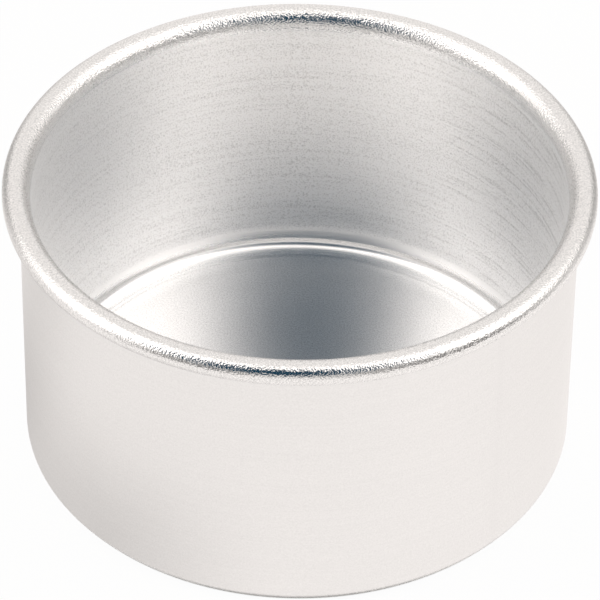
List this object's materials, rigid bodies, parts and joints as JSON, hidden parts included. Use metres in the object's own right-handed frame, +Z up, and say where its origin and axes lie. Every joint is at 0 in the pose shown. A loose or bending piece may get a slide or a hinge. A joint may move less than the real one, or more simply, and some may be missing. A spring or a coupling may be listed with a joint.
{
  "type": "baking cup",
  "caption": "Small round straight-sided aluminium baking cup with a flat floor and a rolled, wire-stiffened rim, for baking or serving an individual portion.",
  "frame": {"origin": "centre of the flat underside, on the surface that the cup stands on", "axes": "+Z up along the cup's axis, towards the open mouth; the cup is round, so +X and +Y are free, and the picture looks along +Y"},
  "size_m": [0.0842, 0.0842, 0.0452],
  "materials": {
    "satin_aluminium": "satin, with fine lines round the wall from drawing and a faint orange-peel grain on the rim",
    "steel_wire": "dull drawn wire"
  },
  "bodies": {
    "root": {"cup_shell": "satin_aluminium", "rim_wire": "steel_wire"}
  },
  "joints": []
}
